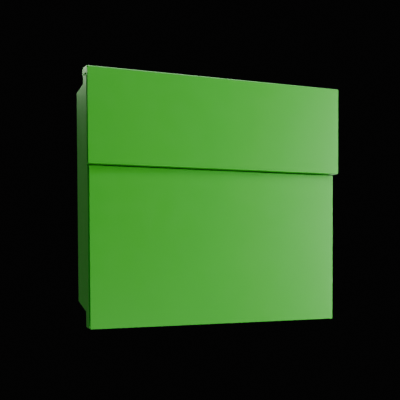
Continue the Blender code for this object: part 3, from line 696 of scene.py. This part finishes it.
def make_flap():
    low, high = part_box("flap")
    rod = middle_of("flap_hinge_pin")
    half = FLAP_SHEET / 2
    face_y = low.y + half
    top_z = FOOT + FRONT_HEIGHT - half
    away = Vector((face_y - rod.y, top_z - rod.z))
    roll_line = ROLL_RADIUS - half
    first = math.degrees(math.atan2(away.y, away.x) - math.acos(roll_line / away.length))
    roll = arc((rod.y, rod.z), roll_line, first, -ROLL_TURN, 26)
    corners = [(low.y + FLAP_RETURN, low.z + half), (face_y, low.z + half, 0), (face_y, top_z), roll[0]]
    line = rounded(corners, FLAP_TOP_FOLD)[:-1] + roll
    sheet = folded_sheet("flap_sheet", across_x(line, low.x), (high.x - low.x, 0, 0), FLAP_SHEET)
    for side in ("left", "right"):
        eye_low, eye_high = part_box(f"flap_hinge_bracket_{side}")
        front = rod.y - ROLL_RADIUS - EYE_ROOM / 2
        gap_low = (eye_low.x - EYE_ROOM, front, rod.z - CUT_REACH)
        gap_high = (eye_high.x + EYE_ROOM, high.y + CUT_REACH, high.z + CUT_REACH)
        mill(sheet, gap_low, gap_high)
    soften(sheet, FLAP_EDGE, angle=35)
    hand_over(sheet, "flap", "green_powder_coat", "flap")
    ear_front = low.y + FLAP_SHEET + EAR_GAP
    knee = arc((rod.y, rod.z - EAR_DROP), EAR_RADIUS, 90, -170, 16)
    bend = (ear_front + EAR_REACH, rod.z - EAR_THROAT)
    throat = rounded([knee[-1], bend, (ear_front, top_z - EAR_DEPTH)], EAR_SWEEP)
    ear = [(ear_front, top_z - half)] + knee + throat[1:]
    plate = flat_plate("flap_ear_left", across_x(ear, low.x), (EAR_SHEET, 0, 0))
    soften(plate, THIN_EDGE)
    twin = copy_of(plate, "flap_ear_right", (high.x - EAR_SHEET - low.x, 0, 0))
    hand_over(plate, "flap", "green_powder_coat")
    hand_over(twin, "flap", "green_powder_coat")


def make_hinge_rod():
    low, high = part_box("flap_hinge_pin")
    radius = (high.z - low.z) / 2
    reach = (high.x - low.x) / 2
    bevel = 0.0004
    near_end = [(radius - bevel, -reach), (radius, bevel - reach)]
    profile = [*near_end, (radius, reach - bevel), (radius - bevel, reach)]
    rod = turned("hinge_rod", profile, middle_of("flap_hinge_pin"), (1, 0, 0), steps=32)
    hand_over(rod, "housing", "stainless_steel", "flap_hinge_pin")


def make_hinge_eyes():
    """Strips riveted to the rim's roof and rolled round the hinge rod."""
    low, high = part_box("flap_hinge_bracket_left")
    rod = middle_of("flap_hinge_pin")
    pin_low, pin_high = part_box("flap_hinge_pin")
    half = SHELL_SHEET / 2
    loop = (pin_high.z - pin_low.z) / 2 + PIN_ROOM + half
    foot = (high.y - EYE_FOOT, low.z + half)
    away = Vector((foot[0] - rod.y, foot[1] - rod.z))
    first = math.degrees(math.atan2(away.y, away.x) - math.acos(loop / away.length))
    line = [(high.y, foot[1]), foot] + arc((rod.y, rod.z), loop, first, -300, 30)
    name = "flap_hinge_bracket_left_eye"
    eye = folded_sheet(name, across_x(line, low.x), (high.x - low.x, 0, 0), SHELL_SHEET)
    drill(eye, middle_of("bracket_rivet_left"), (0, 0, 1), RIVET_HOLE, reach=0.3 * CUT_REACH)
    soften(eye, THIN_EDGE)
    for twin, node in repeat(eye, both("flap_hinge_bracket"), "{}_eye"):
        hand_over(twin, "housing", "green_powder_coat", node)


# Door and its hinge


def thread(radius, start, end, pitch=0.0005):
    """Rings that alternate between the crest and the root of a fine thread."""
    count = int((end - start) / pitch)
    root = radius - 0.6 * pitch
    rings = []
    for turn in range(count):
        rings += [(root, start + turn * pitch), (radius, start + (turn + 0.5) * pitch)]
    return rings + [(root, start + count * pitch)]


def door_nuts():
    return [f"tray_nut_{number}" for number in range(1, 5)] + ["striker_nut_1", "striker_nut_2"]


def make_door():
    low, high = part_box("door_panel")
    half = DOOR_SHEET / 2
    return_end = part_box("flap")[0].y + FLAP_RETURN
    face = low.y + half
    line = [(return_end, high.z - half), (face, high.z - half), (face, low.z)]
    sheet = folded_sheet("door_sheet", across_x(line, low.x), (high.x - low.x, 0, 0), DOOR_SHEET)
    soften(sheet, DOOR_EDGE)
    hand_over(sheet, "door", "green_powder_coat", "door_panel")


def make_studs():
    """Threaded studs welded to the door's back, one through each of its nuts."""
    first = door_nuts()[0]
    place = middle_of(first)
    weld = [(STUD_RADIUS + 0.0009, 0), (STUD_RADIUS, 0.0004)]
    turns = thread(STUD_RADIUS, 0.0006, STUD_LENGTH - 0.0003)
    start = (place.x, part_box("door_panel")[0].y + DOOR_SHEET - 0.0001, place.z)
    profile = [*weld, *turns, (0.7 * STUD_RADIUS, STUD_LENGTH)]
    stud = turned(f"{first}_stud", profile, start, (0, 1, 0), steps=24)
    for twin, node in repeat(stud, door_nuts(), "{}_stud"):
        level = middle_of(node).y - place.y
        twin.data.transform(Matrix.Translation((0, -level, 0)))
        hand_over(twin, "door", "zinc_plate")


def make_nut(node, bore, steps):
    """A hexagon nut with its corners turned off, front and back."""
    low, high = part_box(node)
    place = (low + high) / 2
    radius = max(high.x - low.x, high.z - low.z) / 2
    height = high.y - low.y
    bpy.ops.object.select_all(action="DESELECT")
    bpy.ops.mesh.primitive_cylinder_add(vertices=6, radius=radius, depth=height, location=place)
    nut = bpy.context.object
    nut.name = f"{node}_hex"
    nut.rotation_euler = Vector((0, 1, 0)).to_track_quat("Z", "Y").to_euler()
    bpy.ops.object.transform_apply(location=True, rotation=True, scale=False)
    flat = 0.96 * radius * math.cos(math.radians(30))
    outer = 1.02 * radius
    chamfer = 0.3 * height
    cone = [(flat, 0), (outer, chamfer), (outer, height - chamfer), (flat, height)]
    trim(nut, turned("chamfer", cone, (place.x, low.y, place.z), (0, 1, 0), steps), "INTERSECT")
    drill(nut, place, (0, 1, 0), bore + PIN_ROOM, reach=2 * CUT_REACH)
    return nut


def make_nuts():
    for twin, node in repeat(make_nut(door_nuts()[0], STUD_RADIUS, 48), door_nuts(), "{}_hex"):
        hand_over(twin, "door", "zinc_plate", node)
    hand_over(make_nut("lock_nut", LOCK_RADIUS, 60), "housing", "zinc_plate", "lock_nut")


def make_tray():
    """A tray of folded sheet behind the door. Its end walls run down to the hinge."""
    low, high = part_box("door_tray")
    half = TRAY_SHEET / 2
    floor = FOOT + TRAY_FOOT + half
    door_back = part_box("door_panel")[0].y + DOOR_SHEET
    front = door_back + TRAY_ROOM + half
    back = high.y - half
    inside = 2 * half
    line = rounded([(front, high.z), (front, floor), (back, floor), (back, floor + TRAY_LIP - half)], FOLD)
    width = high.x - low.x - inside
    sheet = folded_sheet("tray_sheet", across_x(line, low.x + half), (width, 0, 0), TRAY_SHEET)
    for nut in door_nuts()[:4]:
        drill(sheet, middle_of(nut), (0, 1, 0), STUD_RADIUS + STUD_ROOM)
    soften(sheet, THIN_EDGE)
    hand_over(sheet, "door", "green_powder_coat", "door_tray")
    pin = middle_of("door_hinge_spacer_left")
    knuckle = arc((pin.y, pin.z), KNUCKLE_RADIUS, 180, 170, 14)
    wall_foot = FOOT + TRAY_FOOT
    corners = [
        (pin.y + 2 * KNUCKLE_RADIUS, wall_foot, CORNER),
        (high.y, wall_foot, ROUND_CORNER),
        (high.y, wall_foot + TRAY_LIP, 2 * OPEN_CORNER),
        (pin.y - KNUCKLE_RADIUS, high.z, OPEN_CORNER),
    ]
    outline = knuckle + rounded([knuckle[-1], *corners, knuckle[0]], OPEN_CORNER)[1:-1]
    wall = flat_plate("tray_wall_left", across_x(outline, low.x), (TRAY_SHEET, 0, 0))
    drill(wall, (low.x, pin.y, pin.z), (1, 0, 0), PIVOT_RADIUS + PIN_ROOM)
    soften(wall, THIN_EDGE)
    twin = copy_of(wall, "tray_wall_right", (high.x - TRAY_SHEET - low.x, 0, 0))
    hand_over(wall, "door", "green_powder_coat")
    hand_over(twin, "door", "green_powder_coat")


def make_striker():
    low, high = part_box("door_striker")
    half = SHELL_SHEET / 2
    step_z = high.z - STRIKER_HEIGHT + half
    line = rounded(
        [(low.y + half, low.z), (low.y + half, step_z), (high.y - half, step_z), (high.y - half, high.z)],
        FOLD,
    )
    striker = folded_sheet("striker_bracket", across_x(line, low.x), (high.x - low.x, 0, 0), SHELL_SHEET)
    for nut in door_nuts()[4:]:
        drill(striker, middle_of(nut), (0, 1, 0), STUD_RADIUS + STUD_ROOM, reach=0.6 * CUT_REACH)
    soften(striker, THIN_EDGE)
    hand_over(striker, "door", "zinc_plate", "door_striker")


def make_hinge_arms():
    """The arms inside the side plates, each with a round end for the door's pin."""
    low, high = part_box("door_hinge_arm_left")
    pin = middle_of("door_hinge_pin_left")
    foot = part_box("floor_panel")[0].z + SHELL_SHEET + ARM_GAP
    knuckle = arc((pin.y, pin.z), KNUCKLE_RADIUS, 80, 190, 18)
    corners = [
        knuckle[-1],
        (ARM_HEEL, foot),
        (high.y, foot),
        (high.y, high.z, ROUND_CORNER),
        (ARM_HEEL + ARM_LEAN, high.z, ROUND_CORNER),
        knuckle[0],
    ]
    outline = knuckle + rounded(corners, TIGHT_CORNER)[1:-1]
    arm = flat_plate("door_hinge_arm_left_plate", across_x(outline, low.x), (high.x - low.x, 0, 0))
    drill(arm, (low.x, pin.y, pin.z), (1, 0, 0), PIVOT_RADIUS + PIN_ROOM)
    soften(arm, THIN_EDGE)
    for twin, node in repeat(arm, both("door_hinge_arm"), "{}_plate"):
        hand_over(twin, "housing", "green_powder_coat", node)


def make_hinge_pivots():
    """The door's pins, with their heads towards the middle."""
    for side, sign in (("left", -1), ("right", 1)):
        node = f"door_hinge_pin_{side}"
        low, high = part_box(node)
        length = high.x - low.x
        end = THIN_EDGE
        head = [
            (PIVOT_HEAD - 0.0008, 0),
            (PIVOT_HEAD - 0.0002, end),
            (PIVOT_HEAD, 0.0008),
            (PIVOT_HEAD, PIVOT_HEAD_HEIGHT),
        ]
        tip = [(PIVOT_RADIUS, length - end), (PIVOT_RADIUS - end, length)]
        middle = middle_of(node)
        start = (low.x if sign > 0 else high.x, middle.y, middle.z)
        profile = [*head, (PIVOT_RADIUS, PIVOT_HEAD_HEIGHT), *tip]
        shaft = turned(f"{node}_shaft", profile, start, (sign, 0, 0), steps=32)
        hand_over(shaft, "housing", "stainless_steel", node)


def make_spacers():
    low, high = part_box("door_hinge_spacer_left")
    reach = (high.x - low.x) / 2
    bore = PIVOT_RADIUS + PIN_ROOM
    edge = THIN_EDGE
    ring = [
        (bore, -reach),
        (KNUCKLE_RADIUS - edge, -reach),
        (KNUCKLE_RADIUS, edge - reach),
        (KNUCKLE_RADIUS, reach - edge),
        (KNUCKLE_RADIUS - edge, reach),
        (bore, reach),
        (bore, -reach),
    ]
    spacer = turned("door_hinge_spacer_left_ring", ring, (low + high) / 2, (1, 0, 0), steps=32)
    for twin, node in repeat(spacer, both("door_hinge_spacer"), "{}_ring"):
        hand_over(twin, "housing", "black_nylon", node)


def make_buffers():
    """Rubber stops with a soft crown and a thin lip round the foot."""
    for kind in ("flap_buffer", "door_buffer"):
        low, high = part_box(f"{kind}_left")
        radius = (high.x - low.x) / 2
        height = high.y - low.y
        profile = [(across * radius, up * height) for across, up in BUFFER_FOOT]
        profile += crown(0.9 * radius, 0.55 * height, (0, 15, 30, 45, 60, 75, 84), 0.45 * height)
        start = ((low.x + high.x) / 2, high.y, (low.z + high.z) / 2)
        stop = turned(f"{kind}_left_stop", profile, start, (0, -1, 0), steps=36)
        for twin, node in repeat(stop, both(kind), "{}_stop"):
            hand_over(twin, "housing", "black_rubber", node)


# Lock


def make_barrel():
    low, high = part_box("lock_barrel")
    place = middle_of("lock_barrel")
    rim = (high.x - low.x) / 2
    bore = PLUG_RADIUS + PIN_ROOM
    length = high.y - low.y
    profile = [(bore, 0.0003), (bore + 0.0003, 0), (rim - 0.0009, 0), (rim - 0.0002, 0.0005), (rim, 0.0010),
               (rim, LOCK_FLANGE), (LOCK_RADIUS, LOCK_FLANGE)]
    profile += thread(LOCK_RADIUS, LOCK_FLANGE + 0.0012, length - 0.0006, pitch=0.001)
    profile += [(LOCK_RADIUS - 0.0006, length), (bore, length), (bore, 0.0003)]
    barrel = turned("barrel_body", profile, (place.x, low.y, place.z), (0, 1, 0), steps=56)
    hand_over(barrel, "housing", "nickel_plate", "lock_barrel")


def make_plug():
    """The plug with its keyway, a dished face and a ward along one side of the slot."""
    low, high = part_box("lock_plug")
    place = middle_of("lock_plug")
    radius = (high.x - low.x) / 2
    length = high.y - low.y
    profile = [(radius - 0.0013, 0.0003), (radius - 0.0009, 0), (radius - 0.0003, 0), (radius, 0.0003),
               (radius, length - 0.0004), (radius - 0.0004, length)]
    plug = turned("plug_body", profile, (place.x, low.y, place.z), (0, 1, 0), steps=48)
    half_width, half_height = KEYWAY_WIDTH / 2, KEYWAY_HEIGHT / 2
    front = low.y - CUT_LEAD
    keyway = [(place.x + x * half_width, front, place.z + z * half_height) for x, z in KEYWAY_SHAPE]
    trim(plug, flat_plate("keyway_cutter", keyway, (0, KEYWAY_DEPTH + CUT_LEAD, 0)))
    soften(plug, FINE_EDGE, segments=2, angle=50)
    hand_over(plug, "lock", "nickel_plate", "lock_plug")


def make_cam():
    """A lever with round ends."""
    low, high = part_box("lock_cam")
    plug = middle_of("lock_plug")
    half = (high.z - low.z) / 2
    tip = high.x - half
    outline = arc((plug.x, plug.z), half, 90, 180, 20) + arc((tip, plug.z), half, -90, 180, 20)
    cam = flat_plate("cam_lever", [(x, low.y, z) for x, z in outline], (0, high.y - low.y, 0))
    soften(cam, SHEET_EDGE)
    hand_over(cam, "lock", "zinc_plate", "lock_cam")


def make_cam_screw():
    """A pan head with a cross recess."""
    low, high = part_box("cam_screw")
    place = middle_of("cam_screw")
    radius = (high.x - low.x) / 2
    height = high.y - low.y
    profile = [(0.96 * radius, 0), (radius, 0.1 * height)]
    profile += crown(radius, 0.7 * height, (0, 15, 30, 45, 60, 75, 85), 0.3 * height)
    screw = turned("cam_screw_head", profile, (place.x, low.y, place.z), (0, 1, 0), steps=40)
    floor = low.y + 0.45 * height
    roof = high.y + CUT_LEAD
    for wide, tall in ((CROSS_REACH, CROSS_BLADE), (CROSS_BLADE, CROSS_REACH)):
        mill(screw, (place.x - wide, floor, place.z - tall), (place.x + wide, roof, place.z + tall))
    hand_over(screw, "lock", "zinc_plate", "cam_screw")


def make_pieces():
    make_sides()
    for side in ("left", "right"):
        make_angle(f"stile_{side}", f"frame_stile_{side}")
        make_angle(f"guard_{side}", f"side_guard_{side}")
    make_roof()
    make_floor_sheet()
    make_back()
    make_slot_plate()
    make_guide_sheet()
    make_rivets()
    make_flap()
    make_hinge_rod()
    make_hinge_eyes()
    make_door()
    make_studs()
    make_nuts()
    make_tray()
    make_striker()
    make_hinge_arms()
    make_hinge_pivots()
    make_spacers()
    make_buffers()
    make_barrel()
    make_plug()
    make_cam()
    make_cam_screw()


make_pieces()


# Studio, in metres, degrees and watts

FLOOR_SIZE = 9
FLOOR_DROP = 1.6
CAMERA_PLACE = (-0.3354, -0.9273, -0.0707)
CAMERA_TURN = -20.12
CAMERA_TILT = -1.68
CAMERA_ROLL = -0.23
LENS = 56.96
LENS_SHIFT = 0.1777
WORLD_STRENGTH = 0.002
# Each light's place, aim, size, power and colour
LIGHTS = {
    "high_key": ((0.2, -2.5, 2.7), (0, 0, 0), (2.2, 1.6), 48),
    "low_key": ((0.1, -2.3, -1.2), (0, 0, 0), (1.8, 0.6), 15),
    "right_softbox": ((1.05, -0.72, 0.08), (0.15, -0.05, 0), (0.4, 1.0), 21),
    "top_softbox": ((0.7, 0.5, 2.0), (0, -0.1, 0), (2.2, 1.0), 38),
    "left_fill": ((-3.0, 0.3, 0.1), (-0.2, 0, 0), (1.6, 1.6), 8),
    "back_softbox": ((-0.6, 2.0, 1.2), (-0.185, 0, 0.1), (0.9, 0.9), 14, (0.65, 1, 0.58)),
    "back_card": ((1.2, 2.2, 0.1), (0, 0, 0), (1.8, 2.2), 16),
    "back_fill": ((0.3, 2.4, 0), (0, 0, 0), (2.6, 2.6), 1.8),
}


def make_floor():
    bpy.ops.mesh.primitive_plane_add(size=FLOOR_SIZE, location=(0, 0, FOOT - FLOOR_DROP))
    floor = bpy.context.object
    floor.name = "floor"
    floor.data.materials.append(principled("pale_floor", (0.72, 0.72, 0.71), 0.0, 0.7)[0])


def area_light(name, place, aim, size, watts, colour=(1, 1, 1)):
    data = bpy.data.lights.new(name, "AREA")
    data.shape = "RECTANGLE"
    data.size, data.size_y = size
    data.energy = watts
    data.color = colour
    light = bpy.data.objects.new(name, data)
    bpy.context.scene.collection.objects.link(light)
    light.visible_camera = False
    light.location = place
    light.rotation_euler = (Vector(aim) - Vector(place)).to_track_quat("-Z", "Y").to_euler()


def make_camera():
    """Stands to the left of the mailbox and turns to it. A lens shift keeps its uprights upright."""
    data = bpy.data.cameras.new("camera")
    data.lens = LENS
    data.shift_y = LENS_SHIFT
    camera = bpy.data.objects.new("camera", data)
    bpy.context.scene.collection.objects.link(camera)
    camera.location = CAMERA_PLACE
    turn = math.radians(CAMERA_TURN)
    tilt = math.radians(90 + CAMERA_TILT)
    roll = math.radians(CAMERA_ROLL)
    camera.rotation_euler = (
        Matrix.Rotation(turn, 4, "Z") @ Matrix.Rotation(tilt, 4, "X") @ Matrix.Rotation(roll, 4, "Z")
    ).to_euler()
    bpy.context.scene.camera = camera


def make_world():
    world = bpy.data.worlds.new("studio")
    world.use_nodes = True
    back = world.node_tree.nodes["Background"]
    back.inputs["Color"].default_value = (1, 1, 1, 1)
    back.inputs["Strength"].default_value = WORLD_STRENGTH
    bpy.context.scene.world = world


make_floor()
make_world()
for light, values in LIGHTS.items():
    area_light(light, *values)
make_camera()
